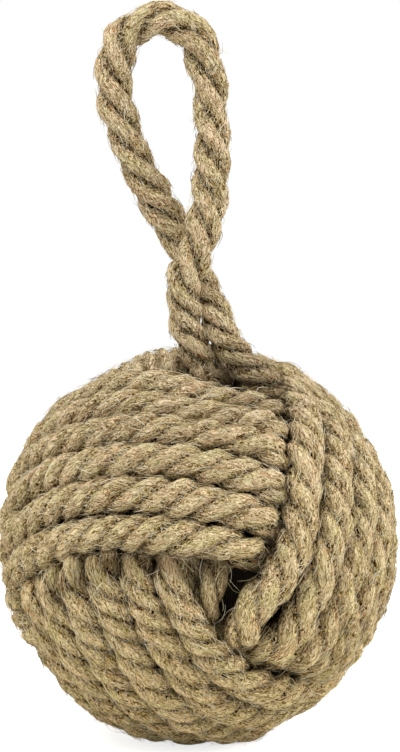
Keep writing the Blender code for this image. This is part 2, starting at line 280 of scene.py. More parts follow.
knot = {
    "turnDegrees": (14.4, -31.7, -132.2),
    "turns": 6,
    "diveLength": 16.0 * mm,  # the run in which a turn goes down to the inner layer
    "spreadRate": 1.3,  # how soon the turns spread out again down there
    "shiftDegrees": 70.0,  # the part of the hidden side in which a turn moves over to the next
    "cornerOpening": 4.0,  # degrees by which the turns leave a corner open
    "handleOpening": 9.5,  # the same round the handle
    "openingReach": 50.0,  # from here on a corner no longer moves the turns
    "ringStep": 1.3 * mm,
    "sway": 0.35 * mm,  # how far a turn strays from its even place
    "swayLength": 60 * mm,
    "heave": 0.6,  # how much of that it strays outward
    "heaveLength": 50 * mm,
    "squeeze": 0.13,  # how much flatter a turn is where it passes under others
    "widest": 1.10,  # how wide a turn spreads where its neighbours leave it room
    # where turns were pulled out of their even places: toward, by how many millimetres, how many
    # degrees round, and of which windings
    "pulls": (((0.452, -0.892, -0.033), (9.2, 0, -4.1), 30, "first second third"),
              ((-0.026, -0.998, -0.06), (-3.0, 0, -1.3), 13, "first second third"),
              ((0.388, -0.48, 0.787), (3.7, 0, 0), 20, "first second third"),
              ((0.037, -0.488, 0.872), (0, -5.0, -3), 15.5, "first second third"),
              ((0.563, -0.495, 0.662), (1.4, 3.3, 1.3), 17, "second"),
              ((0.804, -0.314, 0.505), (3.6, 6.6, -1.7), 17, "second"),
              ((0.697, -0.688, 0.2), (1.2, 1.2, -0.3), 17, "second"),
              ((0.911, -0.408, 0.054), (2.1, 4.2, -3.7), 17, "second"),
              ((0.808, -0.541, -0.233), (1.5, 3.5, -3.2), 17, "second"),
              ((0.251, -0.91, -0.332), (0.9, 1.5, -3.4), 17, "second"),
              ((0.523, -0.737, -0.428), (2.7, 6.1, -7.1), 17, "second"),
              ((-0.011, -0.979, -0.204), (2.4, 0.9, -4.6), 10, "second"),
              ((0.084, -0.922, -0.377), (5.4, 2.7, -5.5), 10, "second"),
              ((0.202, -0.952, -0.231), (-2.7, -1.4, 3.3), 10, "second"),
              ((0.276, -0.87, -0.409), (1.5, 1.1, -1.3), 10, "second"),
              ((0.42, -0.851, -0.316), (-1.0, -0.3, -0.4), 10, "second"),
              ((0.98, 0.15, 0.05), (0, 7.0, -3), 32, "second"),
              ((0.62, 0, -0.78), (-2.0, 4.0, -3), 26, "second"),
              ((0.126, -0.94, -0.318), (0, 0, -4.2), 11, "third"),
              ((0.465, -0.626, -0.626), (1.5, 0, 3.4), 10, "third"),
              ((0.662, -0.17, -0.729), (0, 0, 17), 23, "third")),
    # where turns go down under others later than elsewhere, or earlier: toward, by how many
    # millimetres, how many degrees round, and of which windings
    "lateDives": (((0.537, -0.624, -0.567), -11.0, 19, "second"),
                  ((0.86, -0.08, -0.5), -8.0, 18, "first"),
                  ((0.679, -0.405, -0.612), 5.0, 13, "third")),
    "softerDive": 0.7,  # how much longer a dive gets per millimetre that it is moved
    # where the ball is a little flat or full: toward, by how many millimetres, how many degrees round
    "dents": (((0.771, -0.162, -0.616), 5.0, 7), ((0.775, 0.06, -0.63), 5.0, 8),
              ((0.54, -0.18, -0.822), 1.4, 9), ((-0.759, -0.1, -0.629), 3.6, 9),
              ((-0.424, -0.03, 0.905), 2.2, 9), ((0.502, -0.033, 0.864), -1.8, 8),
              ((0.948, -0.081, 0.308), -1.0, 10)),
    "fullness": 0.6 * mm,  # how much further out the outer turns lie than their solids
}


def turnedAxes(degrees):  # the three axes after a turn about X, then Y, then Z
    x, y, z = (math.radians(d) for d in degrees)
    aboutX = np.array([[1, 0, 0], [0, math.cos(x), -math.sin(x)], [0, math.sin(x), math.cos(x)]])
    aboutY = np.array([[math.cos(y), 0, math.sin(y)], [0, 1, 0], [-math.sin(y), 0, math.cos(y)]])
    aboutZ = np.array([[math.cos(z), -math.sin(z), 0], [math.sin(z), math.cos(z), 0], [0, 0, 1]])
    return (aboutZ @ aboutY @ aboutX).T


leftFace, rightFace, topFace = turnedAxes(knot["turnDegrees"])
handleCorner = (leftFace + rightFace + topFace) / math.sqrt(3)


def openCorners(directions):
    # Pushes directions away from the eight corners: the angle from a corner becomes the long side
    # of a right-angled triangle over itself and the opening, fading out with distance.
    for signs in np.ndindex(2, 2, 2):
        corner = sum(s * face for s, face in zip(1 - 2 * np.array(signs), (leftFace, rightFace, topFace)))
        corner = corner / np.linalg.norm(corner)
        opening = knot["handleOpening"] if corner @ handleCorner > 0.99 else knot["cornerOpening"]
        across = unit(directions - (directions @ corner)[:, None] * corner)
        away = np.arccos(np.clip(directions @ corner, -1, 1))
        fade = 1 - softStep(away / math.radians(knot["openingReach"]))
        moved = away + fade * (np.hypot(away, math.radians(opening)) - away)
        directions = np.cos(moved)[:, None] * corner + np.sin(moved)[:, None] * across
    return directions


def nearness(directions, middle, reach):  # a bell curve of the angle from a middle, in degrees
    away = np.arccos(np.clip(directions @ unit(np.array(middle)), -1, 1))
    return np.exp(-(away / math.radians(reach))**2)


def pullTurns(directions, winding):  # moves directions by each pull, which fades round its middle
    for middle, move, reach, which in knot["pulls"]:
        if winding in which:
            fade = nearness(directions, middle, reach)[:, None]
            directions = unit(directions + fade * (np.array(move) * mm) / outerRadius)
    return directions


def layTurn(winding, place, longitude):
    # A rope some pitches from its winding's middle. It circles the pole axis at a latitude, on the
    # outer sphere near its own two faces and on the inner one under its neighbour. The dive between
    # them is half a wave of the cosine, and each dent is taken off the sphere as a bell curve.
    face, side, pole = windings[winding]["axes"]

    def toward(latitude):
        ring = np.cos(longitude)[:, None] * face + np.sin(longitude)[:, None] * side
        return np.cos(latitude)[:, None] * ring + np.sin(latitude)[:, None] * pole

    directions = pullTurns(openCorners(toward(place * outerPitch)), winding)
    shift = 0
    for middle, more, reach, which in knot["lateDives"]:
        if winding in which:
            shift = shift + more * mm * nearness(directions, middle, reach)
    lag = (windings[winding]["lag"] + shift) / outerRadius
    diveEnd = math.pi / 2 - (knot["turns"] - 1) / 2 * outerPitch + lag
    diveStart = diveEnd - (knot["diveLength"] + knot["softerDive"] * abs(shift)) / outerRadius
    fromFace = np.arccos(np.clip(abs(toward(place * outerPitch) @ face), 0, 1))
    dive = softStep((fromFace - diveStart) / (diveEnd - diveStart))
    spread = softStep((fromFace - diveEnd) / (math.pi / 2 - diveEnd) * knot["spreadRate"])
    latitude = place * (outerPitch + spread * (innerPitch - outerPitch))
    directions = pullTurns(openCorners(toward(latitude)), winding)
    radius = outerRadius + knot["fullness"] - dive * (layerDepth + knot["fullness"])
    for middle, depth, reach in knot["dents"]:
        radius = radius - depth * mm * nearness(directions, middle, reach)
    return directions * radius[:, None]


def windingRope(winding, seed):
    # One rope round all turns of a winding: on the hidden side it moves over by one place, as half
    # a wave of the cosine. It widens where the lines half a place to either side leave it room.
    rings = round(2 * math.pi * outerRadius / knot["ringStep"]) * knot["turns"]
    angle = np.linspace(0, knot["turns"] * 2 * math.pi, rings + 1)
    longitude = angle - math.pi / 2
    whole = np.floor(angle / (2 * math.pi) + 0.5)
    step = softStep((angle - 2 * math.pi * whole) / math.radians(knot["shiftDegrees"]) + 0.5)
    place = whole - 1 + step - (knot["turns"] - 1) / 2
    line = layTurn(winding, place, longitude)
    room = layTurn(winding, place + 0.5, longitude) - layTurn(winding, place - 0.5, longitude)
    along = unit(np.gradient(line, axis=0))
    room -= np.sum(room * along, axis=1, keepdims=True) * along
    outward = unit(line)
    sideways = np.cross(along, outward)
    run = lengthAlong(line)
    sway = knot["sway"] * wander(run, knot["swayLength"], seed + 100)
    heave = knot["heave"] * knot["sway"] * wander(run, knot["heaveLength"], seed + 200)
    line = line + sway[:, None] * sideways + heave[:, None] * outward
    width = np.minimum(np.linalg.norm(room, axis=1) / ropeDiameter, knot["widest"])
    sunk = (outerRadius - np.linalg.norm(line, axis=1)) / layerDepth
    flatten = np.stack([1 - knot["squeeze"] * softStep(2 * sunk), width], axis=1)
    look = windings[winding]
    piece, grid, along = laidRope("rope_" + winding + "_winding", line + ballMiddle, outward, look["lay"],
                                  flatten, seed, strand=look["strandShare"])
    print(piece.name, "%.2f m of rope," % run[-1], len(piece.data.polygons), "faces")
    return piece, grid, along


windings = {
    # the axes of each winding, the run in which a strand goes once round its rope, how far past the
    # middle of the rope that it passes under it gets before it is fully down, and its strands' size
    "first": {"axes": (leftFace, rightFace, topFace), "lay": 31.0 * mm, "lag": 1.6 * mm,
              "strandShare": 0.575},
    "second": {"axes": (rightFace, topFace, leftFace), "lay": 34.0 * mm, "lag": 4.0 * mm,
               "strandShare": 0.61},
    "third": {"axes": (topFace, leftFace, rightFace), "lay": 30.0 * mm, "lag": 1.4 * mm,
              "strandShare": 0.585},
}
ballRopes = {}
for seed, winding in enumerate(windings, 1):
    ballRopes[winding] = windingRope(winding, seed)
    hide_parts(winding + "_winding")


# The handle: one rope from inside the ball, round the loop and back in

handle = {
    "hinge": (3.298 * mm, -26.007 * mm, 152.944 * mm),
    "lay": 43.0 * mm,
    "legLay": 28.0 * mm,  # the same in the legs, which were twisted tighter
    "strandShare": 0.515,
    "thickness": 1.05,
    "legThickness": 0.97,  # the same near the feet, where the legs press on each other
    "legTop": 40 * mm,  # over the hinge, where lay and thickness begin to change
    "legFade": 30 * mm,
    "step": 0.8 * mm,
    "blendBelow": 7 * mm,
    "blendAbove": 12 * mm,
}
# Points in millimetres from the hinge, from the left leg's end to the right leg's
handleRoute = (
    (8.5, 13.0, -27.0), (6.0, 9.5, -23.0), (3.4, 6.0, -18.5), (0.4, 2.8, -14.5), (-2.4, 0.6, -10.5),
    (-4.2, -0.6, -6.8), (-5.8, -0.8, -3.0), (-6.8, -0.8, 0), (-8.0, -2.4, 7.1), (-8.5, -5.4, 16.3),
    (-5.2, -6.6, 25.6), (-1.1, -5.4, 36.9), (1.1, -2.8, 53.4), (1.8, -1.0, 72.2), (0.9, 0, 88.9),
    (-1.5, 0, 101.5), (-6.5, 0, 110.1), (-14.6, 0, 114.1), (-23.6, 0, 112.9),
    (-30.8, 0, 106.7), (-34.1, 0, 95.2), (-32.3, 0.8, 81.5), (-28.0, 2.4, 68.0),
    (-21.9, 4.6, 54.5), (-14.0, 6.2, 40.5), (-7.2, 6.9, 27.6), (-2.0, 5.8, 16.3), (2.3, 2.4, 7.1),
    (5.0, 0.6, 0), (6.8, 0, -3.4), (9.3, -0.6, -7.0), (12.3, -1.0, -10.4), (15.8, -0.8, -13.4),
    (19.4, 0.6, -16.0), (22.6, 3.0, -19.0), (25.5, 6.5, -23.0), (27.5, 10.5, -28.0),
)
hinge = np.array(handle["hinge"])
handleLine = curveThrough(np.array(handleRoute) * mm, handle["step"]) + hinge
low = softStep((hinge[2] + handle["legTop"] - handleLine[:, 2]) / handle["legFade"])
lay = handle["lay"] + (handle["legLay"] - handle["lay"]) * low
thickness = handle["thickness"] + (handle["legThickness"] - handle["thickness"]) * low
handleRope, handleGrid, handleAlong = laidRope(
    "rope_handle", handleLine, np.broadcast_to([0.0, -1.0, 0.0], handleLine.shape), lay,
    np.stack([thickness, thickness], axis=1), seed=7, pressed=False, strand=handle["strandShare"])
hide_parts("handle_loop", "left_root", "right_root")
print("handle %.0f mm of rope" % (lengthAlong(handleLine)[-1] / mm))


# The rope's working end and a hidden pass, which show in the front corner between the windings

tuck = {
    "lay": 36.0 * mm,
    "thickness": 0.86,
    "step": 1.2 * mm,
    # millimetres from the ball's middle
    "rope_tucked_end": ((11.6, -52.0, 11.0), (8.3, -57.0, 1.2), (4.2, -60.5, -11.5), (0.0, -56.5, -24.0)),
    "rope_inner_pass": ((-4.0, -46.0, 12.0), (-3.0, -51.0, 1.5), (-2.0, -53.5, -9.5), (-0.5, -50.0, -21.0)),
}
tuckRopes = []
for seed, name in enumerate(("rope_tucked_end", "rope_inner_pass"), 11):
    line = curveThrough(np.array(tuck[name]) * mm, tuck["step"])
    width = np.full((len(line), 2), tuck["thickness"])
    tuckRopes.append(laidRope(name, line + ballMiddle, unit(line), tuck["lay"], width, seed)[0])
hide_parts("tucked_end")


# The core: a round bag of sand, its gathered neck tied in the free corner opposite the handle

core = {
    "radius": 48.4 * mm,
    "shoulder": 1.6 * mm,  # how much wider than the neck its round ends
    "neckRadius": 4.4 * mm,
    "neckFoot": 49.4 * mm,  # heights from the ball's middle, along the neck
    "mouth": 57.4 * mm,
    "mouthRadius": 5.6 * mm,
    "gathers": 17,
    "gatherDepth": 0.55 * mm,
    "slack": 0.5 * mm,  # how deep the cloth's wrinkles are
    "sandRadius": 46.6 * mm,
    "sandSunk": 0.3 * mm,
    "sandLumps": 0.12 * mm,
    "bagGrid": (200, 240),  # points from pole to neck, and round it
    "sandGrid": (120, 160),
    "twineShare": 0.106,  # the twine's radius, as a share of the rope's
    "twineTurns": 3,
    "twinePitch": 1.85 * mm,
    "twineLay": 5.0 * mm,
    "twineLoose": 1.2 * mm,  # how far the twine's ends stand off
    "twinePast": 0.04,  # how far the ends go past a whole number of turns
    "twinePoints": 320,
    "tieFoot": 50.24 * mm,
}
neckWay = -handleCorner
neckSide = unit(np.cross(neckWay, [0.0, 0.0, 1.0]))
neckFront = np.cross(neckWay, neckSide)


def aroundNeck(profile, around, depth):
    # A turned surface on the neck's axis: each point of the profile is a distance from the axis and
    # a height along it, and goes round in a circle. Depth is taken off along the point's own ray.
    spokes = np.cos(around)[:, None] * neckSide + np.sin(around)[:, None] * neckFront
    grid = profile[:, :1, None] * spokes[None] + profile[:, 1:, None] * neckWay
    return grid - depth[..., None] * unit(grid)


def ballArc(radius, end, count):  # a profile of the bag: an arc from its far pole to this angle
    arc = np.linspace(math.pi - 0.01, end, count)
    return np.stack([np.sin(arc), np.cos(arc)], axis=1) * radius


def allRound(count):
    return np.linspace(0, 2 * math.pi, count, endpoint=False)


def bagOfSand():
    # The bag's profile is an arc, then a curve up the neck, past the tie and into a crumpled mouth.
    # Its gathers are a wave round the neck that fades with the angle from it, and its wrinkles are
    # slow sines, which only go inward. The sand is a ball with lumps.
    neck, tie = core["neckRadius"], core["tieFoot"]
    mouth, lip = core["mouth"], core["mouthRadius"]
    rows, columns = core["bagGrid"]
    arc = ballArc(core["radius"], math.asin((neck + core["shoulder"]) / core["radius"]), rows)
    throat = ((*arc[-1], 0), (neck + 0.3 * mm, core["neckFoot"], 0), (neck, tie, 0),
              (neck - 0.1 * mm, tie + 2.6 * mm, 0), (neck, tie + 5.4 * mm, 0), (lip, mouth, 0),
              (0.6 * lip, mouth - 0.6 * mm, 0), (0.5 * mm, mouth - 2.0 * mm, 0))
    profile = np.vstack([arc, curveThrough(np.array(throat), 0.35 * mm)[1:, :2]])
    around = allRound(columns)
    away = np.arctan2(profile[:, 0], profile[:, 1])[:, None]
    wave = 0.5 + 0.5 * np.cos(core["gathers"] * around + 1.5 * np.sin(3 * around + 4 * away))
    folds = np.sin(5 * around + 7 * away + 2 * np.sin(9 * away)) * np.sin(11 * away + 2 * np.sin(around))
    wrinkle = 0.5 + 0.5 * folds
    depth = core["gatherDepth"] * wave * np.exp(-away / 0.35) + core["slack"] * wrinkle * np.sin(away)
    bag = aroundNeck(profile, around, depth) + ballMiddle
    rows, columns = core["sandGrid"]
    lumps = core["sandSunk"] + core["sandLumps"] * roughSkin(rows, columns, seed=31)
    sand = aroundNeck(ballArc(core["sandRadius"], 0.01, rows), allRound(columns), lumps) + ballMiddle
    return closedTube("cloth_bag", bag, {}), closedTube("loose_sand", sand, {})


def neckTwine():  # a helix round the neck, which leaves it at both ends, laid of three strands
    past, last = core["twinePast"], core["twineTurns"]
    turns = np.linspace(-past, last + past, core["twinePoints"])
    loose = core["twineLoose"] * (np.exp(-(turns + past) * 30) + np.exp(-(last + past - turns) * 30))
    reach = core["neckRadius"] + rope["radius"] * core["twineShare"] + 0.1 * mm + loose
    angle = 2 * np.pi * turns[:, None]
    spokes = np.cos(angle) * neckSide + np.sin(angle) * neckFront
    line = spokes * reach[:, None] + (core["tieFoot"] + core["twinePitch"] * turns)[:, None] * neckWay
    share = np.full((len(line), 2), core["twineShare"])
    return laidRope("neck_twine", line + ballMiddle, spokes, core["twineLay"], share, seed=17)[0]


clothBag, looseSand = bagOfSand()
twinePiece = neckTwine()
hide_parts("core_bag")
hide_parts("core_sand")
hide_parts("bag_tie")
print("core made")


# Fibres: most lie along the rope and a few stand off it or cross the gaps between turns

lyingFibres = {
    "count": 9400,
    "joints": 4,  # points in a fibre
    "thickness": 0.12 * mm,
    "length": (2.0 * mm, 7.0 * mm),
    "stray": 0.5,  # how far its direction strays from the rope's
    "lift": 0.16 * mm,
    "curl": 0.4 * mm,
    "above": 1.6 * mm,  # how far over the rope's middle they start, seen from the ball's
}
# The same on the handle, where they are shorter, lie closer and start all round the rope
lyingOnHandle = {**lyingFibres, "count": 4200, "length": (1.8 * mm, 4.6 * mm), "stray": 0.4,
                 "lift": 0.1 * mm, "above": -20 * mm}
looseFibres = {
    "count": 2450,
    "joints": 5,
    "thickness": 0.08 * mm,
    "length": (3.0 * mm, 8.0 * mm),
    "stray": 1.5,
    "lift": 0.4 * mm,
    "curl": 0.55 * mm,
    "above": -1.5 * mm,
}
looseOnHandle = {**looseFibres, "count": 60}
hollowHairs = {
    "count": 90,
    "joints": 8,
    "thickness": 0.06 * mm,
    "length": (4.0 * mm, 10.0 * mm),
    "spread": 3.4 * mm,  # how far from a hollow's line they start
    "bend": 0.12,  # sideways, as a share of the length
    "rise": 1.2 * mm,  # how far the middle stands over the ends
}
fibreSkin = {
    "endRings": 6,  # rings at each end of a rope without fibres
    "deepest": 6 * mm,  # how far below the outer turns' middle they start
    "clear": 0.12 * mm,  # height of a fibre's root over the skin
    "ballWidth": 150 * mm,  # a fibre sinks as a ball of this width does under it
    "darkening": 0.8,  # how far the hollows' shade reaches them
}


def threeSided(curves, size, first, second):  # rings of three points round each point of the curves
    angles = np.arange(3) * 2 * np.pi / 3
    return (curves[:, :, None] + (size * np.cos(angles))[..., None] * first
            + (size * np.sin(angles))[..., None] * second)


def fibreCurves(grid, way, look, dice):
    # From a point on the rope's skin a fibre goes along the rope, turned sideways at random. It
    # rises off the skin as half a wave of the sine and swings to and fro as one whole wave.
    # Three-sided rings of shrinking size go along it.
    count, skip = look["count"], fibreSkin["endRings"]
    inner = grid[skip:-skip]
    middles = np.repeat(inner.mean(axis=1), grid.shape[1], axis=0)
    points = inner.reshape(-1, 3)
    outer = unit(points - ballMiddle)
    seen = ((np.linalg.norm(points - ballMiddle, axis=1) > outerRadius - fibreSkin["deepest"])
            & (np.sum((points - middles) * outer, axis=1) > look["above"]))
    pick = dice.choice(np.flatnonzero(seen), count)
    root = points[pick]
    out = unit(root - middles[pick])
    forth = np.repeat(way[skip:-skip], grid.shape[1], axis=0)[pick] * dice.choice([-1, 1], count)[:, None]
    forth = unit(forth + look["stray"] * dice.normal(0, 1, (count, 1)) * np.cross(forth, out))
    side = np.cross(forth, out)
    shortest, longest = look["length"]
    length = (shortest + (longest - shortest) * dice.uniform(0, 1, count)**2)[:, None, None]
    t = np.linspace(0, 1, look["joints"])[None, :, None]
    lift = look["lift"] * dice.exponential(1, (count, 1, 1))
    swing = look["curl"] * dice.normal(0, 1, (count, 1, 1))
    phase = dice.uniform(0, 2 * np.pi, (count, 1, 1))
    sink = length**2 * t**2 / fibreSkin["ballWidth"]
    curve = (root[:, None] + forth[:, None] * length * t
             + out[:, None] * (lift * np.sin(2.4 * t) + fibreSkin["clear"] - sink)
             + side[:, None] * swing * (np.sin(2 * np.pi * t + phase) - np.sin(phase)))
    along = unit(np.gradient(curve, axis=1))
    first = unit(np.cross(along, out[:, None] + 0.01))
    second = np.cross(along, first)
    size = look["thickness"] * dice.uniform(0.6, 1.4, (count, 1, 1)) * (1 - 0.6 * t)
    rings = onFloor(threeSided(curve, size, first[:, :, None], second[:, :, None]).reshape(-1, 3))
    tone = np.repeat(dice.uniform(0, 1, count), look["joints"] * 3)
    return rings, tone, lightLeft(rings)**fibreSkin["darkening"]


def hollowCurves(dice):
    # Hairs across the hollows: each starts near a hollow's line, just outside it, and runs any way
    # over the ball, bent as half a wave of the sine.
    count, joints = hollowHairs["count"], hollowHairs["joints"]
    lines = np.vstack([curveThrough(np.array(look["line"]) * mm, 1 * mm) for look in hollows])
    start = lines[dice.integers(0, len(lines), count)]
    out = unit(start)
    way = unit(np.cross(out, dice.normal(size=(count, 3))))
    side = np.cross(out, way)
    shortest, longest = hollowHairs["length"]
    length = dice.uniform(shortest, longest, count)[:, None, None]
    t = np.linspace(-0.5, 0.5, joints)[None, :, None]
    rise = hollowHairs["rise"] * np.cos(np.pi * t) + 0.4 * mm
    astray = dice.normal(size=(count, 1, 1)) * hollowHairs["spread"]
    bend = dice.normal(0, hollowHairs["bend"], (count, 1, 1)) * np.cos(np.pi * t)
    curve = (start[:, None] + astray * side[:, None] + way[:, None] * length * t
             + out[:, None] * rise + side[:, None] * length * bend)
    side, out = side[:, None, None], out[:, None, None]
    rings = threeSided(ballMiddle + curve, hollowHairs["thickness"], side, out)
    tone = np.repeat(dice.uniform(0.2, 0.9, count), joints * 3)
    return rings.reshape(-1, 3), tone, np.ones(count * joints * 3)


def fibrePiece(name, sources, seed):
    # All the fibres of one piece. A source is the rope's rings, its direction and the look of its
    # fibres, and hairs across the hollows have no rope.
    dice = np.random.default_rng(seed)
    vertices, quads, triangles, tones, shades, first = [], [], [], [], [], 0
    for grid, way, look in sources:
        count, joints = look["count"], look["joints"]
        points, tone, shade = hollowCurves(dice) if grid is None else fibreCurves(grid, way, look, dice)
        if grid is handleGrid:
            shade = shade * legShade(points)
        ring, corner = np.meshgrid(np.arange(joints - 1), np.arange(3), indexing="ij")
        here, there = ring * 3 + corner, ring * 3 + (corner + 1) % 3
        sides = np.stack([here, there, there + 3, here + 3], axis=-1).reshape(-1, 4)
        each = joints * 3  # points in one fibre
        ends = np.array([[2, 1, 0], [each - 3, each - 2, each - 1]])
        shift = first + (np.arange(count) * each)[:, None, None]
        vertices.append(points)
        tones.append(tone)
        shades.append(shade)
        quads.append((sides[None] + shift).reshape(-1, 4))
        triangles.append((ends[None] + shift).reshape(-1, 3))
        first += len(points)
    return meshOf(name, np.concatenate(vertices), np.concatenate(quads), np.concatenate(triangles),
                  {"tone": np.concatenate(tones), "shade": np.concatenate(shades)})


ballFibres = []
for seed, (winding, (piece, grid, along)) in enumerate(ballRopes.items(), 21):
    ballFibres.append(fibrePiece("fibres_" + winding, [(grid, along, lyingFibres)], seed))
looseSources = [(grid, along, looseFibres) for piece, grid, along in ballRopes.values()]
ballFibres.append(fibrePiece("fibres_loose", looseSources + [(None, None, hollowHairs)], 25))
handleSources = [(handleGrid, handleAlong, look) for look in (lyingOnHandle, looseOnHandle)]
handleFibres = fibrePiece("fibres_handle", handleSources, 26)
print("fibres made")


# Materials

def nodeMaterial(name, roughness, gloss=0.25):
    made = bpy.data.materials.new(name)
    made.use_nodes = True
    shader = made.node_tree.nodes["Principled BSDF"]
    shader.inputs["Roughness"].default_value = roughness
    shader.inputs["Specular IOR Level"].default_value = gloss
    return made, made.node_tree, shader


def feed(tree, socket, value):  # gives a socket another node's output, or its own value
    if isinstance(value, bpy.types.NodeSocket):
        tree.links.new(value, socket)
    elif socket.type == "RGBA":
        socket.default_value = (*value, 1)
    else:
        socket.default_value = value


def add(tree, kind, **values):  # a node with some of its properties or inputs set
    node = tree.nodes.new(kind)
    for key, value in values.items():
        if hasattr(node, key):
            setattr(node, key, value)
        else:
            feed(tree, node.inputs[key.replace("_", " ")], value)
    return node


def ramp(tree, source, stops):  # a value turned into colours by (position, linear colour) stops
    node = add(tree, "ShaderNodeValToRGB", Fac=source)
    marks = node.color_ramp.elements
    while len(marks) < len(stops):
        marks.new(0.5)
    for mark, (position, colour) in zip(marks, stops):
        mark.position = position
        mark.color = (*colour, 1)
    return node.outputs[0]


def calc(tree, operation, first, second):
    node = add(tree, "ShaderNodeMath", operation=operation)
    feed(tree, node.inputs[0], first)
    feed(tree, node.inputs[1], second)
    return node.outputs[0]


def mixColour(tree, blend, share, first, second):
    node = add(tree, "ShaderNodeMix", data_type="RGBA", blend_type=blend)
    for place, value in ((0, share), (6, first), (7, second)):
        feed(tree, node.inputs[place], value)
    return node.outputs[2]


def tinted(tree, colour, tint):
    return mixColour(tree, "MULTIPLY", 1.0, colour, tint)


def streaks(tree, laid, grain):  # noise in the straightened rope, drawn out along it
    across, along, detail, seed = grain
    place = add(tree, "ShaderNodeMapping", Vector=laid, Scale=(1 / across, 1 / across, 1 / along),
                Location=(seed, 2.3 * seed, 1.7 * seed))
    noise = add(tree, "ShaderNodeTexNoise", Vector=place.outputs[0], Scale=1.0, Detail=detail,
                Roughness=juteGrain["roughness"])
    return noise.outputs["Fac"]


def thinLines(tree, laid, grain, width):  # bright where the noise passes its middle value
    away = calc(tree, "SUBTRACT", streaks(tree, laid, grain), 0.5)
    return ramp(tree, calc(tree, "ABSOLUTE", away, 0.0), [(0.0, (1, 1, 1)), (width, (0, 0, 0))])


def pointValue(tree, name, output="Fac"):
    return add(tree, "ShaderNodeAttribute", attribute_name=name).outputs[output]


juteGrain = {
    # noises in the rope: width and length of their features in millimetres, detail and seed
    "fine": (0.42, 4.5, 1.5, 3.0),
    "finest": (0.21, 4.0, 0.5, 61.0),
    "yarn": (1.2, 10.0, 2.0, 11.0),
    "pits": (0.6, 4.2, 2.0, 7.0),
    "patch": (5.0, 9.0, 2.0, 19.0),
    "rust": (0.9, 8.0, 1.0, 31.0),
    "crossing": (2.0, 2.8, 1.0, 41.0),
    "together": (1.4, 6.0, 1.0, 53.0),
    # how much each counts in the rope's light and dark
    "fineShare": 0.44,
    "yarnShare": 0.14,
    "finestShare": 0.42,
    "toneShare": 0.01,
    # painted shade: how much lighter the strands' crowns and darker their grooves come out
    "crownShadeShare": 0.034,
    "roughness": 0.62,  # of every noise
    "ragged": 3.2,  # how far the pits break the edges of grooves and gaps
    "bend": 2.6,  # how far the fibres wave, in millimetres
    "bump": 1.4 * mm,
}
juteLook = {
    "dark": (0.15, 0.088, 0.016),
    "tan": (0.575, 0.42, 0.17),
    "straw": (0.91, 0.765, 0.455),
    "rust": (0.55, 0.24, 0.07),
    "hair": (1.0, 0.86, 0.56),  # thin stray fibres that cross the others
    # painted shade, what the colours are multiplied by: in a groove, beside it, on the rope's sides between
    # two turns, in a pit among the fibres, and where no light is left
    "grooveShade": (0.09, 0.05, 0.012),
    "bankShade": (0.77, 0.66, 0.47),
    "gap": (0.12, 0.068, 0.018),
    "pitShade": (0.60, 0.47, 0.25),
    "deep": (0.10, 0.06, 0.02),
    # painted light multiplied in: browner at the ball's underside, bluer from its top on up, with their
    # heights
    "below": (1.02, 0.99, 0.87),
    "above": (0.995, 0.985, 1.11),
    "belowHeight": 25 * mm,
    "aboveHeight": 125 * mm,
}


